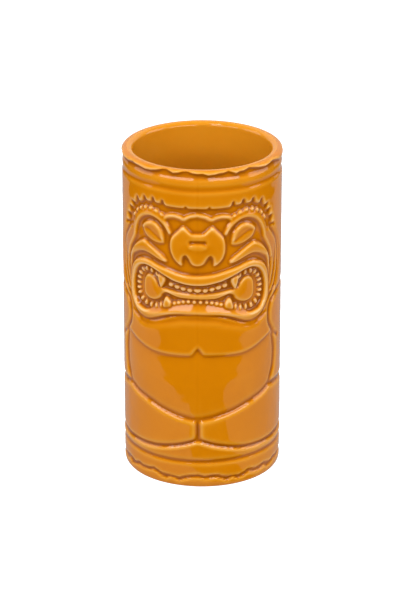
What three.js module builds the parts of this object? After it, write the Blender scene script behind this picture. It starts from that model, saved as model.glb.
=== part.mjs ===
// A slip-cast ceramic tiki mug: a straight beaker with a carved figure round its wall, glazed
// inside and out. Millimetres, +Z up. The origin is the centre of the foot, on the surface that
// the mug stands on, and the carved face looks along -Y.
//
// The mug is one fired piece. Its four nodes are its real layers: the cast clay, the glaze on the
// outside, the glaze poured inside, and the patch of glaze in the recess under the foot.
import * as THREE from "three";

// ---- Driving dimensions ----
const HEIGHT = 162.5; // table to the top of the rim
const WALL_RADIUS = 38; // the uncarved outside, glaze included
const WALL_THICKNESS = 5.05; // clay and both coats
const FLOOR_THICKNESS = 5; // clay and coats, over the recess
const GLAZE = 0.4; // thickness of each coat
const GAP = 0.3; // between a coat and the clay, and between two coats
const CARVING_DEPTH = 1.1; // from the uncarved outside to the floor of the face
const BEAD_STANDOUT = 0.4; // the bead round the rim, past the uncarved outside
const BEAD_BAND = 0.6; // height of the bead under its rounded edge
const RIM_ROUND = 2.2; // radius of the rim's outer and inner edges
const FLOOR_ROUND = 4; // radius where the inside wall meets the floor
const FOOT_INSET = 3; // from the uncarved outside to the bare ring that the mug stands on
const FOOT_WIDTH = 4.4; // of the bare ring
const FOOT_RECESS = 2.4; // the clay under the floor, above the table
const FOOT_EDGE = 1.5; // height of the sloping edge above the ring
const FOOT_EDGE_INSET = 0.6; // from the uncarved outside to the top of that edge
const RECESS_SLOPE = 0.8; // how far the recess narrows from the ring up to its roof
const GLAZE_LINE = 0.5; // how high above the table the outside glaze ends

// ---- Sizes that follow ----
const RIM_RADIUS = WALL_RADIUS + BEAD_STANDOUT;
const BORE_RADIUS = WALL_RADIUS - WALL_THICKNESS;
const CREST_RADIUS = (RIM_RADIUS + BORE_RADIUS) / 2; // where the two coats meet
const RIM_FILLET = Math.min(RIM_ROUND, RIM_RADIUS - CREST_RADIUS - GAP); // a thin wall limits it
const FOOT_OUTER = WALL_RADIUS - FOOT_INSET;
const FOOT_INNER = FOOT_OUTER - FOOT_WIDTH;
const RECESS_RADIUS = FOOT_INNER - RECESS_SLOPE;
const FLOOR_HEIGHT = FOOT_RECESS + FLOOR_THICKNESS;
const CLAY_DEPTH = GLAZE + GAP; // from the finished surface in to the clay

// ---- How finely the surfaces are divided ----
const COLUMNS = 40;
const CROWDING = 0.6; // 0 spaces the columns evenly; nearer 1 crowds them towards the face
const ROUND_STEPS = 3;
// Heights on the drawing, each with the number of rows used to reach it from the one before.
const FIRST_ROW = 3.1;
const ROWS = [
  [5.3, 1], [7.6, 1], [12, 1], [14.4, 1], [16.8, 1], [26, 3], [36, 3], [50, 4], [66, 2], [77, 4],
  [82, 1], [146.4, 19], [151.4, 1], [153.8, 1], [156.2, 1], [159.4, 1],
];

// ---- The drawing that the figure is carved from ----
// Across is measured round the wall from the middle of the face, and up from the table to the
// underside of the bead, both on a mug of this size. Only one half is drawn, because the other is
// its mirror image.
const DRAWING = { radius: 37, height: 159.7 };
const BACK = Math.PI * DRAWING.radius; // across, at the middle of the back
const SLOPE = 1.1; // half the width of a carved edge

// Areas at their own level, as shares of CARVING_DEPTH, where 0 is uncarved. Painted in order.
// One that crosses the middle of the face is given as its right half, from the top down.
const AREAS = [
  { name: "face", level: -1, crosses: true, outline: [
    [0, 143.4], [10, 143.6], [20, 144.4], [28, 144.8], [36, 140.5], [41.5, 132], [44.5, 122],
    [47.6, 110], [44, 97], [38, 89], [30, 84.5], [22, 84.5], [12, 88.3], [0, 90.1]] },
  { name: "eye", level: -0.1, outline: [
    [16.3, 126.3], [18.3, 131.3], [22.6, 134.9], [27.4, 133.8], [29, 130.4], [27, 126.9],
    [21.6, 124.5]] },
  { name: "nose", level: 0.15, crosses: true, outline: [
    [0, 131.4], [3, 132.3], [6.7, 135.3], [11.2, 130.5], [13.4, 125], [11.6, 118.5], [8, 115.1],
    [7.4, 118.4], [5.1, 120.6], [3.4, 118.2], [0, 115.6]] },
  { name: "cheek", level: 0, outline: [
    [14.9, 116.6], [22, 121.7], [28.4, 124.6], [33.5, 121.6], [38.6, 115], [38.6, 111.8],
    [33, 116.6], [26.5, 118.4], [18, 115.8]] },
  { name: "lips", level: 0.1, crosses: true, outline: [
    [0, 110.3], [10, 111.4], [20, 114], [28, 115.3], [36, 111], [39, 104], [38.8, 97], [36.5, 90.5],
    [31, 85.7], [24, 85.4], [14, 89.3], [0, 90.8]] },
  { name: "mouth", level: -1.4, crosses: true, outline: [
    [0, 105.2], [9, 106.3], [17, 109.4], [25, 112], [32, 110], [35.6, 103.5], [35.4, 96.5],
    [33, 91.4], [28, 89], [20, 90.4], [10, 92.9], [0, 93.2]] },
  { name: "tongue", level: -0.8, crosses: true, outline: [
    [0, 101], [12, 101.4], [20, 103.4], [24, 107.4], [28.6, 105.2], [29.4, 101], [28.2, 97],
    [24, 95.2], [18, 98.6], [12, 99.4], [0, 98.3]] },
];

// Ridges: a line at its own level, with a half width.
const RIDGES = [
  { name: "brow", level: -0.1, half: 0.5, line: [[0, 140.8], [6, 139], [12, 140.8], [16.3, 138.6]] },
  { name: "eye_arch", level: 0.05, half: 1.7, line: [
    [14.6, 133], [17.4, 137.8], [23, 140.3], [29, 138.9], [34, 134.4], [36.5, 127.6],
    [41.5, 122.4], [45.4, 117], [46, 107], [43.6, 99]] },
];

// Grooves: a line with a depth as a share of CARVING_DEPTH, and a half width.
const GROOVES = [
  { name: "jaw", depth: 0.8, half: 1.5, line: [
    [0, 89.6], [8, 88.7], [14, 86.7], [20, 84.7], [26, 83.5], [32, 84.5], [40, 89.5], [48, 93.5],
    [58, 94.9], [90, 94.9], [BACK, 94.9]] },
  { name: "upper_arm", depth: 0.85, half: 1.3, line: [
    [40.6, 89.6], [39, 84], [40, 79], [43, 74.5]] },
  { name: "elbow", depth: 0.6, half: 1.2, line: [[43, 74.5], [46, 72], [50, 70]] },
  { name: "forearm", depth: 0.85, half: 1.3, line: [
    [43.5, 72], [45, 65], [44.2, 57], [40.4, 48.8]] },
  { name: "chest", depth: 0.7, half: 1.6, line: [
    [0, 72], [2.8, 69.5], [12, 68.6], [20, 68.5], [28, 70], [36, 72.5], [43, 74.5]] },
  { name: "belly", depth: 0.9, half: 1.6, line: [
    [0, 36], [10, 38.2], [20, 41.4], [30, 44.4], [40, 47.6], [48, 47], [58, 45.4], [90, 45.4],
    [BACK, 45.4]] },
  { name: "between_legs", depth: 0.9, half: 1.3, line: [[0, 36], [0, 24.6]] },
  { name: "under_legs", depth: 0.8, half: 1.5, line: [
    [0, 24.8], [8, 22.4], [18, 20], [30, 18.9], [43, 19.2], [58, 20.6], [90, 20.8], [BACK, 20.8]] },
  { name: "foot_ring", depth: 0.75, half: 1.5, line: [[0, 14.4], [BACK, 14.4]] },
  { name: "foot_edge", depth: 0.6, half: 1.5, line: [[0, 5.3], [BACK, 5.3]] },
  { name: "rim_ring", depth: 0.7, half: 1.5, line: [[0, 153.8], [BACK, 153.8]] },
  { name: "rim_edge", depth: 0.6, half: 1.2, line: [[0, 159.6], [BACK, 159.6]] },
  { name: "spine", depth: 0.6, half: 2.4, line: [[BACK, 94.9], [BACK, 20.8]] },
];

// ---- Curves and distances on the drawing ----
const CURVE_STEPS = 6; // straight pieces between two drawn points

function curve(points, closed) {
  const through = points.map(([across, up]) => new THREE.Vector3(across, up, 0));
  return new THREE.CatmullRomCurve3(through, closed, "centripetal")
    .getPoints(points.length * CURVE_STEPS);
}

function closedOutline({ outline, crosses }) {
  const left = outline
    .filter(([across]) => across > 0)
    .map(([across, up]) => [-across, up])
    .reverse();
  return curve(crosses ? [...outline, ...left] : outline, true);
}

function distanceTo(points, across, up) {
  let nearest = Infinity;
  for (let i = 1; i < points.length; i++) {
    const [a, b] = [points[i - 1], points[i]];
    const [dx, dy] = [b.x - a.x, b.y - a.y];
    const along = ((across - a.x) * dx + (up - a.y) * dy) / (dx * dx + dy * dy || 1);
    const share = THREE.MathUtils.clamp(along, 0, 1);
    nearest = Math.min(nearest, Math.hypot(across - a.x - share * dx, up - a.y - share * dy));
  }
  return nearest;
}

function isInside(points, across, up) {
  let inside = false;
  for (let i = 1; i < points.length; i++) {
    const [a, b] = [points[i - 1], points[i]];
    const crosses = a.y > up !== b.y > up;
    if (crosses && across < a.x + ((up - a.y) * (b.x - a.x)) / (b.y - a.y)) inside = !inside;
  }
  return inside;
}

const areas = AREAS.map((area) => ({ ...area, points: closedOutline(area) }));
const ridges = RIDGES.map((ridge) => ({ ...ridge, points: curve(ridge.line, false) }));
const grooves = GROOVES.map((groove) => ({ ...groove, points: curve(groove.line, false) }));

const CARVED_HEIGHT = HEIGHT - RIM_FILLET - BEAD_BAND; // table to the underside of the bead

// How far the carved wall stands out from the plain one, at an angle from the face and a height.
function carving(angle, z) {
  const across = Math.abs(angle) * DRAWING.radius;
  const up = (z * DRAWING.height) / CARVED_HEIGHT;
  let level = 0;
  for (const { points, level: target } of areas) {
    const deep = distanceTo(points, across, up) * (isInside(points, across, up) ? 1 : -1);
    level += (target - level) * THREE.MathUtils.smoothstep(deep, -SLOPE, SLOPE);
  }
  for (const { points, level: target, half } of ridges) {
    const deep = half - distanceTo(points, across, up);
    level += (target - level) * THREE.MathUtils.smoothstep(deep, -SLOPE, SLOPE);
  }
  for (const { points, depth, half } of grooves) {
    const share = Math.exp(-((distanceTo(points, across, up) / half) ** 2));
    level += (Math.min(level, -depth) - level) * share;
  }
  return level * CARVING_DEPTH;
}

// ---- Surfaces turned round the axis ----
// Each is a list of rings that ends where it began, or on the axis. A carved ring follows the
// carving. Going up the outside and down the inside turns every face outwards.
function ring(radius, z, carved = false) {
  return { radius, z, carved };
}

// Part of a circle in section, as rings; 0 degrees points away from the axis and 90 up.
function arc(centreRadius, centreZ, size, from, to) {
  return Array.from({ length: ROUND_STEPS + 1 }, (_, i) => {
    const turn = THREE.MathUtils.degToRad(from + ((to - from) * i) / ROUND_STEPS);
    return ring(centreRadius + size * Math.cos(turn), centreZ + size * Math.sin(turn));
  });
}

function turned(name, rings, material) {
  const positions = [];
  const index = [];
  for (let column = 0; column < COLUMNS; column++) {
    const even = (column * 2 * Math.PI) / COLUMNS - Math.PI;
    const angle = even - CROWDING * Math.sin(even);
    for (const { radius, z, carved } of rings) {
      const r = radius + (carved ? carving(angle, z) : 0);
      positions.push(r * Math.sin(angle), -r * Math.cos(angle), z);
    }
    const next = (column + 1) % COLUMNS;
    for (let i = 1; i < rings.length; i++) {
      const [a, b] = [column * rings.length + i - 1, next * rings.length + i - 1];
      const [from, to] = [rings[i - 1], rings[i]];
      // The two halves of the face mirror each other, and every layer splits its faces alike, so
      // that the layers stay apart.
      const leansLeft = to.z >= from.z === even >= 0;
      if (from.radius > 0) index.push(a, b, leansLeft && to.radius > 0 ? a + 1 : b + 1);
      if (to.radius > 0) index.push(b + 1, a + 1, leansLeft && from.radius > 0 ? b : a);
    }
  }
  const geometry = new THREE.BufferGeometry();
  geometry.setAttribute("position", new THREE.Float32BufferAttribute(positions, 3));
  geometry.setIndex(index);
  geometry.computeVertexNormals();
  const mesh = new THREE.Mesh(geometry, material);
  mesh.name = name;
  return mesh;
}

// ---- Sections of the mug, taken in from its finished surface by some depth ----
function wallRows() {
  const heights = [FIRST_ROW];
  for (const [height, rows] of ROWS) {
    const from = heights.at(-1);
    for (let i = 1; i <= rows; i++) heights.push(from + ((height - from) * i) / rows);
  }
  return heights.map((height) => (height * CARVED_HEIGHT) / DRAWING.height);
}

// The outside, from the edge of the foot up to the crest of the rim.
function outside(depth) {
  const wall = WALL_RADIUS - depth;
  const edge = RIM_FILLET - depth;
  return [
    ring(wall - FOOT_EDGE_INSET, FOOT_EDGE + depth / 2),
    ...wallRows().map((z) => ring(wall, z, true)),
    ring(RIM_RADIUS - depth, CARVED_HEIGHT + depth / 2),
    ...arc(RIM_RADIUS - RIM_FILLET, HEIGHT - RIM_FILLET, edge, 0, 90),
    ring(CREST_RADIUS + GAP / 2, HEIGHT - depth),
  ];
}

// The inside, from the crest of the rim down to the middle of the floor.
function inside(depth) {
  const edge = RIM_FILLET - depth;
  const bottom = FLOOR_ROUND + depth;
  const centre = BORE_RADIUS - FLOOR_ROUND;
  return [
    ring(CREST_RADIUS - GAP / 2, HEIGHT - depth),
    ...arc(BORE_RADIUS + RIM_FILLET, HEIGHT - RIM_FILLET, edge, 90, 180),
    ...arc(centre, FLOOR_HEIGHT + FLOOR_ROUND, bottom, 0, -90),
    ring(0, FLOOR_HEIGHT - depth),
  ];
}

// ---- Materials ----
const amberGlaze = new THREE.MeshStandardMaterial({ color: 0xd08000, roughness: 0.15 });
const bareClay = new THREE.MeshStandardMaterial({ color: 0xe6d8c0, roughness: 0.85 });

// ---- The four layers ----
function clayBody() {
  return turned("clay_body", [
    ring(0, FOOT_RECESS),
    ring(RECESS_RADIUS, FOOT_RECESS),
    ring(FOOT_INNER, 0),
    ring(FOOT_OUTER, 0),
    ...outside(CLAY_DEPTH),
    ...inside(CLAY_DEPTH),
  ], bareClay);
}

function outerGlaze() {
  const start = ring(FOOT_OUTER + 2 * GAP, GLAZE_LINE);
  return turned("outer_glaze", [
    start,
    ...outside(0),
    ...outside(GLAZE).reverse(),
    start,
  ], amberGlaze);
}

function innerGlaze() {
  return turned("inner_glaze", [...inside(GLAZE).reverse(), ...inside(0)], amberGlaze);
}

function baseGlaze() {
  const radius = RECESS_RADIUS - 2 * GAP;
  const top = FOOT_RECESS - GAP;
  return turned("base_glaze", [
    ring(0, top - GLAZE),
    ring(radius, top - GLAZE),
    ring(radius, top),
    ring(0, top),
  ], amberGlaze);
}

const mug = new THREE.Group();
mug.add(clayBody(), outerGlaze(), innerGlaze(), baseGlaze());

export default mug;
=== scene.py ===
import math

import bmesh
import bpy
import numpy as np
from mathutils import Matrix, Vector


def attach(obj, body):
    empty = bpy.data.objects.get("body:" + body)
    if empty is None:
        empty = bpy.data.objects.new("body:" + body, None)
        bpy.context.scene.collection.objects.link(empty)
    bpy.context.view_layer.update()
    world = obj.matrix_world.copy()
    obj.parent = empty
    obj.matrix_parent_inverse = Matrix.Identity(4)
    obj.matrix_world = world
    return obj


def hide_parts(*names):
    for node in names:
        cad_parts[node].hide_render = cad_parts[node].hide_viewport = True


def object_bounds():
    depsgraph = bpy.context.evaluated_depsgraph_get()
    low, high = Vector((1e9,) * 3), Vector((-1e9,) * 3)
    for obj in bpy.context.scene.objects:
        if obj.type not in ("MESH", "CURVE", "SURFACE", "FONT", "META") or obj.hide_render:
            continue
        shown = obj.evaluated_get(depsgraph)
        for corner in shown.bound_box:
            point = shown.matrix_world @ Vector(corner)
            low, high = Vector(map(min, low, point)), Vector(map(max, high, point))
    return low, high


# A slip-cast tiki mug with a carved wall under an amber glaze. The frame gives its size; the carving
# is drawn here in millimetres and moves the points of one finely divided coat of glaze.
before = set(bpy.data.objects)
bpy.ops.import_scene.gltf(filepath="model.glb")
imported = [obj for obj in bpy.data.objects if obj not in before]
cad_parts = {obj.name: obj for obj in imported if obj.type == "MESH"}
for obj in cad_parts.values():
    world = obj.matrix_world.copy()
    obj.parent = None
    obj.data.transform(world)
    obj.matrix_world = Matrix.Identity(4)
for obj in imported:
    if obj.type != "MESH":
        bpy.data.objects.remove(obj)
CAD_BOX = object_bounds()

MM = 0.001

# ---- Sizes, in millimetres ----
LOW, HIGH = (np.array(corner) / MM for corner in CAD_BOX)
HEIGHT = HIGH[2]
RIM_RADIUS = HIGH[1]
BEAD_STANDOUT = 0.4
WALL_RADIUS = RIM_RADIUS - BEAD_STANDOUT
WALL_THICKNESS = 5.05
BORE_RADIUS = WALL_RADIUS - WALL_THICKNESS
FLOOR_HEIGHT = 7.4
FLOOR_ROUND = 4.0
RIM_ROUND = 2.2
GLAZE_LINE = 0.5
FOOT_OUTER = 35.0
FOOT_INNER = 30.6
FOOT_RECESS = 2.4
HIDDEN = 3.0  # how far under the surface the unseen side of the coat lies
COAT_THICKNESS = 0.4  # of the coat inside the mug
COAT_GAP = 0.3

COLUMNS = 330
CROWDING = 0.4  # how far the columns crowd towards the face
ROWS = (  # height reached, and the spacing of the rows up to it
    (82.0, 0.80), (90.0, 0.55), (112.5, 0.42), (147.0, 0.56), (HEIGHT - RIM_ROUND, 0.60),
)
FIRST_ROW = 3.0

# ---- The drawing of the carving ----
# Across is measured round the wall from the middle of the face, and up from the table. One half is
# drawn, and the other mirrors it.
DRAWING_RADIUS = 37.0
HALF_ROUND = math.pi * DRAWING_RADIUS
LATTICE = 0.36  # spacing of the points that the carving is worked out on

across_line = np.arange(0.0, HALF_ROUND + LATTICE, LATTICE)
up_line = np.arange(-2.0, HEIGHT + 2.0, LATTICE)
ACROSS, UP = np.meshgrid(across_line, up_line)
height = np.zeros_like(ACROSS)


def smooth_line(points, closed=False, steps=6):
    """Catmull-Rom curve through the points."""
    p = np.array(points, dtype=float)
    if closed:
        p = np.vstack([p[-1], p, p[0], p[1]])
    else:
        p = np.vstack([2 * p[0] - p[1], p, 2 * p[-1] - p[-2]])
    pieces = []
    for a, b, c, d in zip(p, p[1:], p[2:], p[3:]):
        for t in np.arange(steps) / steps:
            pieces.append(
                0.5 * (2 * b + (c - a) * t + (2 * a - 5 * b + 4 * c - d) * t**2
                       + (3 * b - a - 3 * c + d) * t**3)
            )
    pieces.append(p[-2])
    return np.array(pieces)


def window(line, margin):
    """The part of the lattice near a line."""
    low = line.min(axis=0) - margin
    high = line.max(axis=0) + margin
    rows = slice(*np.searchsorted(up_line, (low[1], high[1])))
    columns = slice(*np.searchsorted(across_line, (low[0], high[0])))
    return rows, columns


def away_from(line, part):
    """Distance to a line, and how far along it the nearest point lies, from 0 to 1."""
    x, z = ACROSS[part], UP[part]
    nearest = np.full(x.shape, np.inf)
    place = np.zeros(x.shape)
    for i, (a, b) in enumerate(zip(line, line[1:])):
        d = b - a
        share = np.clip(((x - a[0]) * d[0] + (z - a[1]) * d[1]) / max(d @ d, 1e-9), 0, 1)
        distance = np.hypot(x - a[0] - share * d[0], z - a[1] - share * d[1])
        closer = distance < nearest
        nearest = np.where(closer, distance, nearest)
        place = np.where(closer, (i + share) / (len(line) - 1), place)
    return nearest, place


def inside_of(line, part):
    x, z = ACROSS[part], UP[part]
    inside = np.zeros(x.shape, dtype=bool)
    for a, b in zip(line, line[1:]):
        if a[1] == b[1]:
            continue
        crossing = ((a[1] > z) != (b[1] > z)) & (
            x < a[0] + (z - a[1]) * (b[0] - a[0]) / (b[1] - a[1])
        )
        inside ^= crossing
    return inside


def step_up(x, width):
    t = np.clip(x / (2 * width) + 0.5, 0, 1)
    return t * t * (3 - 2 * t)


def mirrored(points):
    """An outline that crosses the middle, from its right half drawn from the top down."""
    return list(points) + [(-x, z) for x, z in reversed(points) if x > 0]


def plate(points, level, edge=0.5, crown=0.0, crown_width=3.0, crosses=False):
    """An area at its own level, with soft edges and a crowned middle."""
    line = smooth_line(mirrored(points) if crosses else points, closed=True)
    part = window(line, 4 * edge + 0.5)
    away, _ = away_from(line, part)
    deep = np.where(inside_of(line, part), away, -away)
    swell = crown * (1 - np.exp(-np.maximum(deep, 0) / crown_width))
    share = step_up(deep, edge)
    height[part] += (level + swell - height[part]) * share
    return deep


def groove(points, half, level):
    """A rounded groove down to its own level."""
    line = smooth_line(points)
    part = window(line, 3 * half + 0.5)
    away, _ = away_from(line, part)
    share = np.exp(-((away / half) ** 2))
    height[part] += (np.minimum(level, height[part]) - height[part]) * share


def scratch(points, half, depth):
    """A rounded groove of one depth below whatever it crosses."""
    line = smooth_line(points)
    part = window(line, 3 * half + 0.5)
    away, _ = away_from(line, part)
    height[part] -= depth * np.exp(-((away / half) ** 2))


def ridge(points, level, half, ends=0.0):
    """A rounded ridge up to its own level, that may taper to nothing at its ends."""
    line = smooth_line(points)
    part = window(line, 3 * half + 0.5)
    away, place = away_from(line, part)
    width = half * (1 - ends * np.abs(2 * place - 1) ** 3)
    share = np.exp(-((away / np.maximum(width, 0.05)) ** 2))
    height[part] += (level - height[part]) * share


def bead(x, z, long, wide, turn, level):
    """A tooth: an oval bump. Long is measured along the direction it is turned to, in degrees."""
    part = window(np.array([(x, z)]), 3 * max(long, wide))
    c, s = math.cos(math.radians(turn)), math.sin(math.radians(turn))
    dx, dz = ACROSS[part] - x, UP[part] - z
    away = np.hypot((dx * c + dz * s) / long, (dz * c - dx * s) / wide)
    share = step_up(1.0 - away, 0.42)
    height[part] += (level - height[part]) * share


# -- Head: the forehead overhangs the face, which is let into the wall --
FACE_LEVEL = -1.45
plate([(0, 144.0), (4.2, 144.0), (5.5, 144.8), (6.8, 144.0), (13, 144.0), (15.6, 144.4), (16.9, 146.6),
       (18.2, 144.9), (20.8, 144.9), (22.2, 147.0), (23.7, 144.8), (26.2, 144.8), (27.6, 146.6),
       (29.0, 144.0), (31.4, 143.0), (32.8, 145.0), (34.0, 142.6), (35.2, 141.0), (37.4, 141.4),
       (37.3, 138.2), (39.6, 138.2), (39.6, 134.8), (41.7, 134.2), (41.4, 130.6), (43.4, 129.6),
       (43.4, 126.4), (46.2, 123.4), (49.2, 119.4), (51.2, 113.6), (50.2, 106.4), (47.4, 100.4),
       (43.6, 95.6), (40.5, 91.6), (36, 87.4), (30, 84.6), (22, 84.6), (12, 88.6), (0, 90.2)],
      FACE_LEVEL, edge=0.7, crosses=True)

# Strands beside the face
ridge([(38.6, 127.5), (42.4, 123.2), (45.8, 118.6), (47.0, 112.4), (46.4, 106), (44.2, 100.4),
       (41.2, 96.2)], -0.45, 1.35)
ridge([(42.5, 128.5), (46.4, 122.8), (49.4, 117.2), (50.2, 111.4), (48.6, 103.6), (45.6, 97.8)],
      -0.35, 0.9)

# Brow
ridge([(0, 140.6), (3.5, 139.9), (6.3, 138.5), (8.5, 139.2), (11, 139.6), (13, 139.4), (15, 138.7),
       (16.5, 137.2)], -0.25, 1.05)

# Eye socket: a band that arches over the eye and runs down beside the cheek, with a raised inner
# edge and a row of small bumps above it
plate([(13.0, 131.4), (14.6, 135.0), (17.0, 138.4), (19.5, 140.1), (22.5, 140.9), (26, 140.6),
       (29.5, 139.4), (32.5, 137.3), (35, 134.4), (36.8, 131.2), (37.8, 128.2), (39, 125.9),
       (41, 124.0), (43.5, 121.5), (45, 117), (44.6, 111), (43.4, 105), (41.6, 100.4), (40.6, 97.6),
       (40.4, 102), (41.2, 108), (41.2, 113), (39.8, 117.6), (37.4, 121.4), (35.6, 124.6),
       (34.6, 128.0), (33.5, 130.6), (32.2, 132.8), (30.5, 134.6), (28.5, 136.0), (26.2, 137.0),
       (24.0, 137.4), (21.6, 137.1), (19, 135.9), (16.6, 134.0), (14.4, 131.6)],
      -0.6, edge=0.6)
ridge([(13.4, 131.0), (15.2, 134.6), (18, 136.9), (21.2, 138.2), (24.2, 138.4), (27, 137.9),
       (29.8, 136.5), (32.2, 134.2), (34.0, 131.2), (35.0, 128.0), (35.6, 125.2), (37.6, 121.8),
       (39.8, 118.2), (41.2, 113.6)], -0.15, 0.85)
for across, up, turn in ((17.4, 139.3, 35), (20.4, 140.6, 20), (24.0, 141.3, 0), (27.4, 140.9, -15),
                         (30.6, 139.7, -30), (33.4, 137.8, -45), (35.8, 135.0, -60)):
    bead(across, up, 1.2, 0.75, turn, -0.35)

# Eye: an almond with a full upper lid that overhangs the lower half
plate([(16.1, 126.0), (16.6, 129.9), (18.1, 132.4), (20.1, 134.2), (22.4, 134.9), (25, 134.3),
       (27.3, 133.1), (29.1, 131.4), (28.8, 129.6), (27.4, 127.5), (25, 126.1), (22, 125.1),
       (19, 124.8), (16.9, 125.2)],
      -0.55, edge=0.5, crown=0.15, crown_width=1.0)
scratch([(27.4, 131.2), (24.8, 130.6), (21.6, 129.0), (18.0, 126.8)], 0.7, 0.3)
ridge([(28.3, 131.0), (26.2, 132.6), (23.4, 133.5), (20.6, 132.6), (18.4, 130.4), (17.0, 127.4)],
      -0.05, 1.1, ends=0.5)

# Nose: a broad plate with flared nostrils and a slot
plate([(0, 131.3), (2.4, 131.4), (3.6, 132.1), (5.0, 133.5), (6.4, 134.6), (7.4, 134.4), (9.2, 132.4),
       (11.0, 130.6), (12.5, 128.4), (13.0, 125.6), (12.7, 122.0), (11.4, 118.8), (9.6, 116.6),
       (8.1, 115.5), (7.3, 115.5), (7.1, 117.6), (6.8, 119.4), (5.9, 120.4), (5, 120.1), (4.1, 118.8),
       (3.2, 117), (2, 115.8), (0, 115.3)],
      -0.1, edge=0.55, crown=0.3, crown_width=4.0, crosses=True)
scratch([(-3.0, 127.2), (0, 127.3), (3.0, 127.2)], 0.95, 0.9)
ridge([(-3.4, 124.7), (0, 124.4), (3.4, 124.7)], 0.45, 1.5, ends=0.5)

# Cheek leaf
plate([(15.0, 116.8), (16.5, 118.6), (19, 120.2), (22, 121.9), (25, 123.4), (27.3, 124.3),
       (28.8, 124.4), (31.5, 123), (34, 121.2), (36.3, 119), (38.3, 116.3), (39.6, 112.5),
       (40.1, 108), (39.9, 104), (39.3, 108), (38.6, 112), (37, 114.6), (34.3, 116.5), (31.5, 118),
       (28, 118.8), (25, 118.5), (22, 117.6), (18.5, 116.4), (15.6, 116.0)],
      -0.3, edge=0.55, crown=0.3, crown_width=1.5)

# Lips: one thick ring round the wide mouth
plate([(0, 110.3), (4, 110.5), (8, 111), (12, 112), (16, 113), (20, 114), (23, 114.9),
       (26.5, 115.3), (29.5, 114.9), (33, 113.3), (36, 111), (37.8, 108), (38.7, 104.5), (39, 101),
       (38.8, 97), (38.2, 93.5), (36.5, 90.5), (34, 87.6), (31, 85.7), (27.5, 85), (24, 85.4),
       (20.5, 86.8), (17, 88.3), (13, 89.6), (8, 90.3), (0, 90.6)],
      -0.2, edge=0.65, crown=0.55, crown_width=1.6, crosses=True)
MOUTH_LEVEL = -2.25
plate([(0, 105.3), (4, 105.5), (8, 106.2), (11.5, 107), (14.5, 108.2), (17.5, 109.4), (20.5, 110.6),
       (23.5, 111.6), (26.5, 112), (29.5, 111.4), (32, 110), (33.8, 107.8), (35, 105), (35.6, 102),
       (35.7, 99), (35.4, 96), (34.3, 93), (32.0, 90.2), (28, 89.2), (25, 89.6), (22, 90.4),
       (18, 91.4), (14, 92.8), (11, 93.9), (8, 94.4), (0, 94.5)],
      MOUTH_LEVEL, edge=0.75, crosses=True)

# The lower lip slopes down evenly from its crest to the foot of the teeth. Towards the corner of the
# mouth the slope fades into the round lip.
CREST = np.array([(0, 91.7), (8, 91.5), (11, 91.1), (14, 90.4), (18, 89.4), (22, 88.4), (25, 87.9),
                  (28, 87.6), (31.5, 88.5)])
SLOPE_WIDTH = [(0, 5.8), (14, 5.7), (20, 4.6), (26, 3.4), (31.5, 3.0)]
CREST_LEVEL = 0.25
crest = np.interp(ACROSS, *CREST.T)
slope_width = np.interp(ACROSS, *np.array(SLOPE_WIDTH).T)
share = np.clip((UP - crest) / slope_width, 0, 1)
on_slope = (step_up(25.5 - ACROSS, 2.0) * step_up(UP - crest + 0.4, 0.4)
            * step_up(crest + slope_width - UP, 0.2))
height += (CREST_LEVEL + (MOUTH_LEVEL - CREST_LEVEL) * share - height) * on_slope

# Mouth: the raised tongue inside the row of teeth
plate([(0, 101.0), (6, 101.2), (11, 101.6), (15.4, 102.2), (19, 102.8), (20.6, 105), (22.9, 107.2),
       (26, 107.5), (28.5, 105.2), (29.1, 101), (28.6, 97.6), (26.7, 95.8), (23.7, 95.2), (20.7, 96),
       (18.6, 97.5), (17.5, 99.3), (15.5, 100.2), (13, 99.6), (10, 98.7), (7, 98.3), (0, 98.2)],
      -1.05, edge=0.5, crown=0.35, crown_width=1.2, crosses=True)

# Teeth
TOOTH_LEVEL = -0.75
UPPER_TEETH = [(0.0, 102.6, 1.92), (3.8, 102.7, 1.32), (7.0, 103.2, 1.32), (10.1, 103.9, 1.32),
               (13.2, 104.7, 1.2)]
for x, z, long in UPPER_TEETH:
    bead(x, z, long, 1.0, 12, TOOTH_LEVEL)
SIDE_TEETH = [(20.8, 108.5, 60), (24.0, 109.8, 80), (27.4, 109.9, 100), (30.0, 108.8, 50),
              (32.0, 106.5, 30), (33.1, 103.9, 12), (33.5, 101.2, 2), (33.4, 98.5, -8),
              (32.7, 96.1, -30), (30.7, 93.6, -55), (27.8, 92.3, -85), (24.5, 92.1, 90),
              (21.4, 92.5, 85), (18.7, 93.4, 80)]
for x, z, turn in SIDE_TEETH:
    bead(x, z, 1.25, 0.7, turn, TOOTH_LEVEL)
LOWER_TEETH = [(1.5, 96.9), (4.4, 96.9), (6.8, 96.6), (9.1, 96.0), (11.3, 95.4)]
for x, z in LOWER_TEETH:
    bead(x, z, 0.85, 0.8, 0, TOOTH_LEVEL)
FANGS = [[(16.2, 108.3), (19.7, 109.2), (19.7, 106), (18.4, 102.5), (16.9, 104.2), (15.9, 106.6)],
         [(13.4, 93.6), (17.0, 92.8), (17.0, 95.6), (15.6, 98.1), (13.8, 97.2), (12.9, 95.4)]]
for fang in FANGS:
    plate(fang, -0.4, edge=0.45, crown=0.2, crown_width=0.8)

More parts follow.
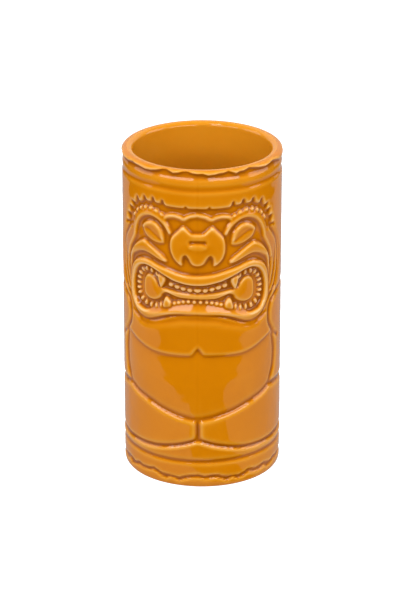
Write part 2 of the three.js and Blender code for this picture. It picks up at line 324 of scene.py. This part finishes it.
# -- Body: the shoulders, the chest plate and the belly --
groove([(30, 84.2), (36, 86.4), (41, 90.6), (46, 93.3), (52, 94.9), (60, 95.4), (90, 95.4),
        (HALF_ROUND, 95.4)], 1.3, -0.9)
groove([(0, 89.0), (8, 88.6), (14, 86.8), (20, 84.9), (26, 83.5), (30, 84.0)], 2.1, -0.75)
plate([(0, 73.4), (1, 72.7), (2, 71.2), (3, 70.2), (5, 69.9), (10, 69.6), (15, 69.3), (20, 69.3),
       (24, 69.8), (28, 70.7), (32, 72), (36, 73.3), (40, 74.7), (42, 75.2), (43.5, 71),
       (44.6, 66), (44.4, 60), (43.3, 55.5), (41.8, 52), (40, 48.6), (33, 46.4), (23, 43.2),
       (13, 40.0), (8, 38.4), (3, 37.2), (0, 36.6)], -0.75, edge=0.6, crown=0.65, crown_width=9.0,
      crosses=True)
# The lower edge of the chest plate
ridge([(0, 75.2), (1.6, 73.6), (3.2, 71.7), (5, 71.1), (10, 70.8), (15, 70.5), (20, 70.5), (24, 71.0),
       (28, 71.9), (32, 73.2), (36, 74.5), (40, 75.9)], 0.1, 0.75)
groove([(41.5, 91), (39.6, 87), (39.0, 84), (39.5, 80), (41.2, 77), (43.4, 74.2)], 1.0, -1.2)
groove([(43.4, 74.2), (45.5, 72.4), (48.5, 70.4)], 0.9, -0.8)
groove([(43.4, 72.4), (44.9, 66), (44.8, 60), (43.7, 55.4), (42.1, 52), (40.2, 48.2)], 1.1, -1.3)

# -- Legs --
groove([(0, 36), (3, 36.6), (8, 37.8), (13, 39.3), (18, 40.8), (23, 42.5), (28, 44), (33, 45.4),
        (37, 46.8), (40, 47.8), (43, 47.3), (47, 46.8), (52, 46.4), (58, 45.8), (90, 45.6),
        (HALF_ROUND, 45.6)], 1.35, -1.35)
groove([(0, 36), (0, 31), (0, 25.8)], 1.35, -1.3)
groove([(0, 26.2), (3, 24.9), (8, 23.2), (13, 21.8), (18, 20.7), (23, 19.9), (33, 19.3), (46, 19.4),
        (60, 20), (90, 20.2), (HALF_ROUND, 20.2)], 1.15, -1.15)
ridge([(-3, 23.0), (0, 24.0), (3, 23.0), (8, 21.3), (13, 20.0), (18, 18.9), (24, 17.9), (32, 17.2),
       (46, 17.2), (90, 18.0), (HALF_ROUND, 18.0)], 0.12, 0.8)

# -- Rings round the foot and the rim --
groove([(-9, 14.4), (HALF_ROUND + 9, 14.4)], 1.1, -0.8)
groove([(-9, 153.1), (HALF_ROUND + 9, 153.1)], 1.9, -0.45)
ridge([(-9, 150.7), (HALF_ROUND + 9, 150.7)], 0.05, 1.4)
# The cove under the rim bead leans in from this ring up to the bead
COVE_FOOT, COVE_TOP, COVE_DEPTH = 155.6, 159.0, 0.5
height -= COVE_DEPTH * np.clip((UP - COVE_FOOT) / (COVE_TOP - COVE_FOOT), 0, 1)

# -- Back: the arms end in a plain panel, with a shallow line down the spine --
groove([(HALF_ROUND, 93), (HALF_ROUND, 48)], 1.8, -0.5)

# The faint seam that the mould leaves down the middle of the face
scratch([(0, 158), (0, 100), (0, 40)], 0.6, 0.04)


def blurred(field, size):
    """The field smoothed over a size in millimetres."""
    reach = max(1, int(round(3 * size / LATTICE)))
    weights = np.exp(-0.5 * (np.arange(-reach, reach + 1) * LATTICE / size) ** 2)
    weights /= weights.sum()
    for axis in (0, 1):
        pad = [(0, 0), (0, 0)]
        pad[axis] = (reach, reach)
        wide = np.pad(field, pad, mode="reflect" if axis else "edge")
        n = field.shape[axis]
        field = sum(w * np.take(wide, range(i, i + n), axis=axis) for i, w in enumerate(weights))
    return field


def waver(across, up, longest, shortest, seed, count=14):
    """Smooth irregularity that closes round the mug, from -1 to 1 or so."""
    draw = np.random.default_rng(seed)
    total = np.zeros_like(across)
    for _ in range(count):
        wave = longest * (shortest / longest) ** draw.random()
        heading = draw.random() * math.pi
        turns = round(2 * HALF_ROUND * math.cos(heading) / wave)
        total += np.sin(turns * across / DRAWING_RADIUS + 2 * math.pi * math.sin(heading) * up / wave
                        + draw.random() * 2 * math.pi)
    return total / math.sqrt(count / 2) / 2


# The whole way round: the drawn half and its mirror image, with the torn edges of the rim bead and
# of the foot band, which don't mirror. Behind, the same few shapes are repeated.
THIRD = 2 * HALF_ROUND / 3
RIM_EDGE = [(-36, 161.3), (-31, 160.9), (-26, 160.3), (-23, 160.5), (-20, 161.1), (-17.3, 162.0),
            (-15.3, 162.2), (-13.5, 161.6), (-11.5, 160.9), (-9, 161.3), (-6.8, 162.0),
            (-4.6, 162.1), (-2.4, 161.5), (0, 161.2), (2.4, 161.3), (5, 160.6), (8, 160.9),
            (10, 161.4), (12, 161.5), (14.5, 162.2), (16.5, 161.4), (18.2, 160.7), (20, 161.4),
            (22, 161.4), (25.3, 162.1), (28, 161.6), (31, 160.9), (35, 160.4), (38, 160.8),
            (THIRD - 36, 161.3)]
FOOT_UPPER = [(-36, 6.2), (-33, 7.4), (-30, 6.8), (-26, 7.1), (-22.3, 8.0), (-19.6, 7.0),
              (-17.6, 6.3), (-14.5, 6.2), (-12, 6.0), (-9, 5.5), (-6, 6.7), (-3, 7.3), (0, 7.6),
              (3, 6.8), (7, 7.4), (10, 7.2), (12, 6.3), (15, 5.9), (20, 5.6), (23, 6.4), (25.4, 7.5),
              (30, 6.8), (33, 7.0), (36, 7.6), (39, 6.9), (THIRD - 36, 6.2)]
FOOT_LOWER = [(-36, 4.8), (-33, 5.6), (-30, 5.4), (-26, 5.7), (-23, 6.4), (-20.6, 6.0), (-18, 4.7),
              (-15.4, 3.9), (-13.4, 5.2), (-11, 4.8), (-9, 3.7), (-6, 5.0), (-3, 5.8), (0, 6.0),
              (3, 5.4), (6.6, 5.6), (9, 5.8), (11.4, 4.8), (14.2, 3.6), (16.8, 5.1), (19.8, 3.7),
              (23, 4.4), (26, 5.5), (29, 4.9), (33, 4.8), (36, 5.8), (38.6, 4.4),
              (THIRD - 36, 4.8)]


def torn(edge, across):
    """The height of a torn edge round the mug."""
    x, z = np.array(edge).T
    span = x[-1] - x[0]
    return np.interp((across - x[0]) % span + x[0], x, z)


height = np.concatenate([height[:, :0:-1], height], axis=1)
ACROSS, UP = np.meshgrid(np.concatenate([-across_line[:0:-1], across_line]), up_line)
BEHIND = 46  # how far round from the middle of the face the rim's torn edge sits lower
rim_edge = torn(RIM_EDGE, ACROSS) - 1.2 * step_up(np.abs(ACROSS) - BEHIND, 5)
UNDERCUT_FOOT, UNDERCUT_DEPTH = 158.8, 0.55  # the hollow that shades the underside of the bead
height -= UNDERCUT_DEPTH * step_up(UP - UNDERCUT_FOOT, 1.5) * step_up(rim_edge - UP, 0.3)
rim_bead = step_up(UP - rim_edge, 0.3)
height = height * (1 - rim_bead) + BEAD_STANDOUT * rim_bead
foot_groove = (step_up(torn(FOOT_UPPER, ACROSS) - UP, 0.35)
               * step_up(UP - torn(FOOT_LOWER, ACROSS), 0.35))
FOOT_GROOVE_DEPTH = 0.8
height -= FOOT_GROOVE_DEPTH * foot_groove

# The mould and the glaze soften every edge. What stands above its near surroundings gets a thin coat,
# and what lies below its wider surroundings a pooled one.
SOFTNESS = 0.26
EDGE_REACH = 0.8
POOL_REACH = 2.2
height = blurred(height, SOFTNESS)
# The thin coat on edges; the painted light inside the mug is added to it on the coat's points
thin_coat_and_painted_light = height - blurred(height, EDGE_REACH)
pooling = np.minimum(blurred(height, 0.4) - blurred(height, POOL_REACH), 0)


def sampled(field, across, up):
    """The lattice's value between its points."""
    x = np.clip(across / LATTICE + (field.shape[1] - 1) / 2, 0, field.shape[1] - 1.001)
    z = np.clip((up - up_line[0]) / LATTICE, 0, field.shape[0] - 1.001)
    i, j = z.astype(int), x.astype(int)
    dz, dx = z - i, x - j
    return ((field[i, j] * (1 - dx) + field[i, j + 1] * dx) * (1 - dz)
            + (field[i + 1, j] * (1 - dx) + field[i + 1, j + 1] * dx) * dz)


def set_attribute(mesh, name, values):
    layer = mesh.attributes.new(name, "FLOAT", "POINT")
    layer.data.foreach_set("value", np.asarray(values, dtype=np.float32))


# ---- Turning profiles into pieces ----
def arc(radius, z, size, start, stop, steps):
    turns = np.radians(np.linspace(start, stop, steps + 1))
    return [(radius + size * math.cos(t), z + size * math.sin(t)) for t in turns]


def turned(name, profile, columns, closed):
    """A profile of (radius, height, rows up to here) spun round the axis into a mesh object."""
    bm = bmesh.new()
    section = []
    for (r0, z0, _), (r1, z1, rows) in zip(profile, profile[1:]):
        for share in np.arange(rows) / rows:
            section.append(bm.verts.new(((r0 + (r1 - r0) * share) * MM, 0,
                                         (z0 + (z1 - z0) * share) * MM)))
    r, z, _ = profile[-1]
    section.append(bm.verts.new((r * MM, 0, z * MM)))
    for a, b in zip(section, section[1:] + section[:1] if closed else section[1:]):
        bm.edges.new((a, b))
    bmesh.ops.spin(bm, geom=bm.verts[:] + bm.edges[:], cent=(0, 0, 0), axis=(0, 0, 1),
                   angle=2 * math.pi, steps=columns, use_merge=True)
    bmesh.ops.remove_doubles(bm, verts=bm.verts, dist=0.01 * MM)
    bmesh.ops.recalc_face_normals(bm, faces=bm.faces)
    for face in bm.faces:
        face.smooth = True
    mesh = bpy.data.meshes.new(name)
    bm.to_mesh(mesh)
    bm.free()
    piece = bpy.data.objects.new(name, mesh)
    bpy.context.collection.objects.link(piece)
    return piece


def coordinates(mesh):
    flat = np.empty(len(mesh.vertices) * 3)
    mesh.vertices.foreach_get("co", flat)
    return flat.reshape(-1, 3) / MM


HAND_DRAWN = 0.2  # how far the drawing wanders from its mirror image
UNEVEN = 0.04  # how far the surface swells and sinks
INSIDE_PAINTED_LIGHT = 0.09  # painted light: the glaze colour inside the mug is made a little lighter
TINY = 1e-3


def glaze_coat():
    crest = (RIM_RADIUS + BORE_RADIUS) / 2
    profile = [(FOOT_OUTER + 0.6, GLAZE_LINE, 1), (WALL_RADIUS - 1.4, 0.6, 1),
               (WALL_RADIUS - 0.7, 0.95, 1), (WALL_RADIUS - 0.25, 1.6, 1), (WALL_RADIUS, FIRST_ROW, 1)]
    for top, spacing in ROWS:
        rows = round((top - profile[-1][1]) / spacing)
        profile.append((WALL_RADIUS, top, rows))
    profile += [(r, z, 1) for r, z in
                arc(WALL_RADIUS - RIM_ROUND, HEIGHT - RIM_ROUND, RIM_ROUND, 0, 90, 9)[1:]]
    profile += [(crest, HEIGHT, 1)]
    profile += [(r, z, 1) for r, z in
                arc(BORE_RADIUS + RIM_ROUND, HEIGHT - RIM_ROUND, RIM_ROUND, 90, 180, 6)]
    profile += [(BORE_RADIUS, FLOOR_HEIGHT + FLOOR_ROUND, 9)]
    profile += [(r, z, 1) for r, z in arc(BORE_RADIUS - FLOOR_ROUND, FLOOR_HEIGHT + FLOOR_ROUND,
                                          FLOOR_ROUND, 0, -90, 6)[1:]]
    profile += [(0, FLOOR_HEIGHT, 4), (0, FLOOR_HEIGHT - COAT_THICKNESS, 1),
                (BORE_RADIUS - FLOOR_ROUND, FLOOR_HEIGHT - COAT_THICKNESS, 1),
                (BORE_RADIUS + COAT_THICKNESS, FLOOR_HEIGHT + FLOOR_ROUND, 1),
                (BORE_RADIUS + COAT_THICKNESS, HEIGHT - RIM_ROUND, 1),
                (WALL_RADIUS - HIDDEN, HEIGHT - RIM_ROUND, 1),
                (WALL_RADIUS - HIDDEN, FIRST_ROW, 1)]
    piece = turned("glaze_coat", profile, COLUMNS, closed=True)
    mesh = piece.data
    xyz = coordinates(mesh)
    even = np.arctan2(xyz[:, 0], -xyz[:, 1])
    angle = even - CROWDING * np.sin(even)
    radius = np.hypot(xyz[:, 0], xyz[:, 1])
    up = xyz[:, 2]
    across = angle * DRAWING_RADIUS
    drawn_across = across + HAND_DRAWN * waver(across, up, 60, 18, 3)
    drawn_up = up + HAND_DRAWN * waver(across, up, 60, 18, 4)
    # The carving is full on the wall, and fades out over the rounding of the rim and above the foot
    past_crest = radius - (WALL_RADIUS - RIM_ROUND)
    fade = np.where(past_crest > TINY, np.clip(past_crest / RIM_ROUND, 0, 1), 0)
    fade = fade * step_up(up - 2.2, 0.8)
    radius = radius + fade * (sampled(height, drawn_across, drawn_up)
                              + UNEVEN * waver(across, up, 14, 6, 5))
    radius = np.minimum(radius, min(HIGH[0], HIGH[1]))  # the frame's box is a little wider one way
    moved = np.stack([radius * np.sin(angle), -radius * np.cos(angle), up], axis=1)
    mesh.vertices.foreach_set("co", (moved * MM).ravel())
    # Painted light: the glaze inside the mug is coloured lighter. Measured after carving, so the very
    # deepest part of the mouth counts with the inside
    inside = (radius < WALL_RADIUS - RIM_ROUND - TINY) * INSIDE_PAINTED_LIGHT
    set_attribute(mesh, "thin_coat_and_painted_light", sampled(thin_coat_and_painted_light, drawn_across, drawn_up) * fade + inside)
    set_attribute(mesh, "pooling", sampled(pooling, drawn_across, drawn_up) * fade)
    mesh.update()
    return piece


def bare_clay():
    profile = [(0, FOOT_RECESS, 1), (FOOT_INNER - 1.3, FOOT_RECESS, 12), (FOOT_INNER - 0.7, 2.2, 1),
               (FOOT_INNER - 0.35, 1.6, 1), (FOOT_INNER - 0.1, 0.5, 2), (FOOT_INNER + 0.15, 0.1, 1),
               (FOOT_INNER + 0.5, 0, 1), (FOOT_OUTER - 0.4, 0, 4), (FOOT_OUTER - 0.1, 0.08, 1),
               (FOOT_OUTER + 0.1, 0.3, 1), (FOOT_OUTER + 0.2, 0.6, 1), (FOOT_OUTER, 1.2, 1),
               (WALL_RADIUS - HIDDEN - COAT_GAP, 2.2, 1),
               (WALL_RADIUS - HIDDEN - COAT_GAP, HEIGHT - RIM_ROUND - COAT_GAP, 1),
               (BORE_RADIUS + 0.7, HEIGHT - RIM_ROUND - COAT_GAP, 1),
               (BORE_RADIUS + 0.7, FLOOR_HEIGHT + 3, 1), (BORE_RADIUS - 4, FLOOR_HEIGHT - 0.8, 1),
               (0, FLOOR_HEIGHT - 0.8, 1)]
    return turned("bare_clay", profile, 160, closed=False)


def underside_glaze():
    radius = FOOT_INNER - 1.6
    top = FOOT_RECESS - COAT_GAP
    profile = [(0, top - 0.4, 1), (radius - 1.2, top - 0.4, 8), (radius - 0.5, top - 0.36, 1),
               (radius - 0.1, top - 0.22, 1), (radius, top, 1), (0, top, 1)]
    return turned("underside_glaze", profile, 160, closed=False)


# ---- Materials ----
def colour(hex_value):
    """sRGB hex to linear."""
    channels = [(hex_value >> shift & 255) / 255 for shift in (16, 8, 0)]
    return (*(c / 12.92 if c <= 0.04045 else ((c + 0.055) / 1.055) ** 2.4 for c in channels), 1.0)


def new_material(name):
    material = bpy.data.materials.new(name)
    material.use_nodes = True
    tree = material.node_tree
    tree.nodes.clear()
    return material, tree


def add(tree, kind, inputs=None, **settings):
    """Adds a node. An input is a value, or a socket of another node to link from."""
    made = tree.nodes.new(kind)
    for key, value in settings.items():
        setattr(made, key, value)
    for key, value in (inputs or {}).items():
        if isinstance(value, bpy.types.NodeSocket):
            tree.links.new(value, made.inputs[key])
        else:
            made.inputs[key].default_value = value
    return made


def ramp(tree, factor, stops):
    made = add(tree, "ShaderNodeValToRGB", {"Fac": factor})
    elements = made.color_ramp.elements
    while len(elements) < len(stops):
        elements.new(0.5)
    for element, (place, value) in zip(elements, stops):
        element.position = place
        element.color = colour(value)
    return made.outputs["Color"]


def amber_glaze():
    # A clear amber stoneware glaze, dipped and fired glossy over pale clay. It runs thin and light on
    # sharp edges, and pools dark in the carving. Inside the mug its colour is made lighter still:
    # painted light.
    material, tree = new_material("amber_glaze")
    thin_and_painted_light = add(tree, "ShaderNodeAttribute", attribute_name="thin_coat_and_painted_light").outputs["Fac"]
    pool = add(tree, "ShaderNodeAttribute", attribute_name="pooling").outputs["Fac"]
    place = add(tree, "ShaderNodeTexCoord").outputs["Object"]
    cloud = add(tree, "ShaderNodeTexNoise", {"Vector": place, "Scale": 45.0, "Detail": 3.0})
    # Even glaze sits at the middle of the ramp. Clouds move it by a twentieth either way.
    level = 0.5 - 0.05
    for factor, gain in ((pool, 0.2), (thin_and_painted_light, 1.3), (cloud.outputs["Fac"], 0.10)):
        level = add(tree, "ShaderNodeMath", {0: factor, 1: gain, 2: level},
                    operation="MULTIPLY_ADD").outputs[0]
    tint = ramp(tree, level, [(0.10, 0x9C5200), (0.34, 0xBA6800), (0.50, 0xCE7A00), (0.62, 0xD88C1C),
                              (0.78, 0xE09E44), (0.95, 0xE8B470)])
    grain = add(tree, "ShaderNodeTexNoise", {"Vector": place, "Scale": 420.0, "Detail": 2.0})
    bump = add(tree, "ShaderNodeBump", {"Height": grain.outputs["Fac"], "Strength": 0.03,
                                        "Distance": 0.0002})
    shader = add(tree, "ShaderNodeBsdfPrincipled", {
        "Base Color": tint, "Roughness": 0.07, "IOR": 1.5, "Normal": bump.outputs["Normal"]})
    add(tree, "ShaderNodeOutputMaterial", {"Surface": shader.outputs["BSDF"]})
    return material


def bare_stoneware():
    # Fired stoneware left bare where the mug stands: matte, pale buff and finely gritty.
    material, tree = new_material("bare_stoneware")
    place = add(tree, "ShaderNodeTexCoord").outputs["Object"]
    grit = add(tree, "ShaderNodeTexNoise", {"Vector": place, "Scale": 900.0, "Detail": 4.0})
    patch = add(tree, "ShaderNodeTexNoise", {"Vector": place, "Scale": 60.0, "Detail": 2.0})
    mixed = 0.0
    for noise, gain in ((grit, 0.6), (patch, 0.4)):
        mixed = add(tree, "ShaderNodeMath", {0: noise.outputs["Fac"], 1: gain, 2: mixed},
                    operation="MULTIPLY_ADD").outputs[0]
    tint = ramp(tree, mixed, [(0.30, 0xB39A78), (0.50, 0xD9C6A6), (0.70, 0xEADDC4)])
    bump = add(tree, "ShaderNodeBump", {"Height": grit.outputs["Fac"], "Strength": 0.4,
                                        "Distance": 0.0002})
    shader = add(tree, "ShaderNodeBsdfPrincipled", {
        "Base Color": tint, "Roughness": 0.85, "Normal": bump.outputs["Normal"]})
    add(tree, "ShaderNodeOutputMaterial", {"Surface": shader.outputs["BSDF"]})
    return material


def white_paper():
    # Matte white background paper, lit brightly enough to lose its shadows.
    material, tree = new_material("background_paper")
    shader = add(tree, "ShaderNodeBsdfPrincipled", {
        "Base Color": colour(0xC0C0C0), "Roughness": 0.9, "Emission Color": colour(0xFFFFFF),
        "Emission Strength": 0.85})
    add(tree, "ShaderNodeOutputMaterial", {"Surface": shader.outputs["BSDF"]})
    return material


def glow(name, strength):
    # Lit paper as the mug sees it: an even white of one brightness.
    material, tree = new_material(name)
    shader = add(tree, "ShaderNodeEmission", {"Color": colour(0xFFFFFF), "Strength": strength})
    add(tree, "ShaderNodeOutputMaterial", {"Surface": shader.outputs["Emission"]})
    return material


def painted_shade():
    # Painted shade: the unlit room round the paper, and the mug's shadow on the paper, as dark sheets
    # that only reflections see.
    material, tree = new_material("painted_shade")
    shader = add(tree, "ShaderNodeBsdfDiffuse", {"Color": colour(0x1A1714)})
    add(tree, "ShaderNodeOutputMaterial", {"Surface": shader.outputs["BSDF"]})
    return material


# ---- The stage ----
def sheet(name, outline, z, material):
    bm = bmesh.new()
    bm.faces.new([bm.verts.new((x * MM, y * MM, z * MM)) for x, y in outline])
    mesh = bpy.data.meshes.new(name)
    bm.to_mesh(mesh)
    bm.free()
    mesh.materials.append(material)
    made = bpy.data.objects.new(name, mesh)
    bpy.context.collection.objects.link(made)
    return made


def show_only(made, *kinds):
    """Lets only these kinds of ray see a sheet."""
    for kind in ("camera", "diffuse", "glossy", "transmission", "shadow"):
        setattr(made, "visible_" + kind, kind in kinds)


def rectangle(x0, y0, x1, y1):
    return [(x0, y0), (x1, y0), (x1, y1), (x0, y1)]


def softbox(name, place, aim, size, power):
    light = bpy.data.lights.new(name, "AREA")
    light.shape = "RECTANGLE"
    light.size, light.size_y = size
    light.energy = power
    made = bpy.data.objects.new(name, light)
    made.location = place
    made.rotation_euler = (Vector(aim) - Vector(place)).to_track_quat("-Z", "Y").to_euler()
    bpy.context.collection.objects.link(made)
    return made


def camera():
    away, elevation, azimuth = 1.3548, math.radians(22.45), math.radians(3.3)
    aim = Vector((0, 0, 0.08274))
    place = aim + away * Vector((math.sin(azimuth) * math.cos(elevation),
                                 -math.cos(azimuth) * math.cos(elevation), math.sin(elevation)))
    lens = bpy.data.cameras.new("camera")
    lens.sensor_fit = "VERTICAL"
    lens.sensor_height = 36.0
    lens.lens = 167.7
    lens.shift_x = -0.00266
    made = bpy.data.objects.new("camera", lens)
    made.location = place
    turn = (aim - place).to_track_quat("-Z", "Y")
    made.rotation_euler = turn.to_euler()
    bpy.context.collection.objects.link(made)
    bpy.context.scene.camera = made


FLOOR = 5000  # half the width of the floor that the camera sees
ROOM = 2500  # and of the one that lights the mug and is mirrored in it
PAPER_FRONT = 118  # how far the lit paper reaches in front of the mug, and to each side
PAPER_SIDE = 345
SHADOW = [(-6, -60), (-30, -PAPER_FRONT), (70, -PAPER_FRONT), (30, -25)]  # of the mug, as mirrored
BACKDROP_BEHIND, BACKDROP_WIDE, BACKDROP_TALL = 600, 840, 1200
SOFTBOX_AIM = (0, 0, 0.08)


def build():
    camera()
    glaze = amber_glaze()
    coat = glaze_coat()
    coat.data.materials.append(glaze)
    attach(coat, "root")
    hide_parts("outer_glaze", "inner_glaze")
    clay = bare_clay()
    clay.data.materials.append(bare_stoneware())
    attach(clay, "root")
    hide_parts("clay_body")
    patch = underside_glaze()
    patch.data.materials.append(glaze)
    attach(patch, "root")
    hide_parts("base_glaze")

    # The camera sees the paper white and almost without shadow. The mug is lit by the paper, and its
    # glaze mirrors a greyer one: its straight edges with the unlit room past them, the backdrop
    # behind, and the shadow that the mug casts towards the front.
    floor = sheet("floor_paper", rectangle(-FLOOR, -FLOOR, FLOOR, FLOOR), 0, white_paper())
    show_only(floor, "camera", "shadow", "transmission")
    bounce = sheet("bounce_paper", rectangle(-ROOM, -ROOM, ROOM, ROOM), 0.3, glow("bounce_paper", 0.85))
    show_only(bounce, "diffuse")
    mirrored, dark = glow("mirrored_paper", 0.46), painted_shade()
    # The dark sheets are painted shade: the unlit room past the paper's edges, and the mug's shadow
    for name, outline, above, finish in (
        ("mirrored_paper", rectangle(-ROOM, -ROOM, ROOM, ROOM), 0.3, mirrored),
        ("studio_front", rectangle(-ROOM, -ROOM, ROOM, -PAPER_FRONT), 0.5, dark),
        ("studio_left", rectangle(-ROOM, -PAPER_FRONT, -PAPER_SIDE, ROOM), 0.5, dark),
        ("studio_right", rectangle(PAPER_SIDE, -PAPER_FRONT, ROOM, ROOM), 0.5, dark),
        ("front_shadow", SHADOW, 0.5, dark),
    ):
        show_only(sheet(name, outline, above, finish), "glossy")
    backdrop = sheet("backdrop", rectangle(-BACKDROP_WIDE, 0, BACKDROP_WIDE, BACKDROP_TALL), 0,
                     glow("white_backdrop", 0.7))
    backdrop.data.transform(Matrix.Translation((0, BACKDROP_BEHIND * MM, 0))
                            @ Matrix.Rotation(math.pi / 2, 4, "X"))
    show_only(backdrop, "glossy", "diffuse")

    softbox("left_softbox", (-0.69, -0.98, 0.55), SOFTBOX_AIM, (1.05, 0.3), 4.5)
    softbox("right_softbox", (0.69, -0.98, 0.55), SOFTBOX_AIM, (1.05, 0.3), 4.5)
    softbox("left_panel", (-1.25, 0, 0.55), SOFTBOX_AIM, (0.9, 0.9), 4.0)
    softbox("right_panel", (1.25, 0, 0.55), SOFTBOX_AIM, (0.9, 0.9), 5.5)
    # The light overhead only fills in: its own reflection would lie across the lips and the nose
    top = softbox("top_softbox", (0, -0.35, 1.40), (0, 0, 0.14), (0.6, 0.6), 15.0)
    top.visible_glossy = False
    softbox("upper_softbox", (-0.35, -0.75, 1.15), (0, 0, 0.11), (0.3, 0.3), 2.5)
    world = bpy.data.worlds.new("studio")
    world.use_nodes = True
    background = world.node_tree.nodes["Background"]
    background.inputs["Color"].default_value = (1, 1, 1, 1)
    background.inputs["Strength"].default_value = 0.1
    bpy.context.scene.world = world
    bpy.context.scene.view_settings.view_transform = "Standard"


build()
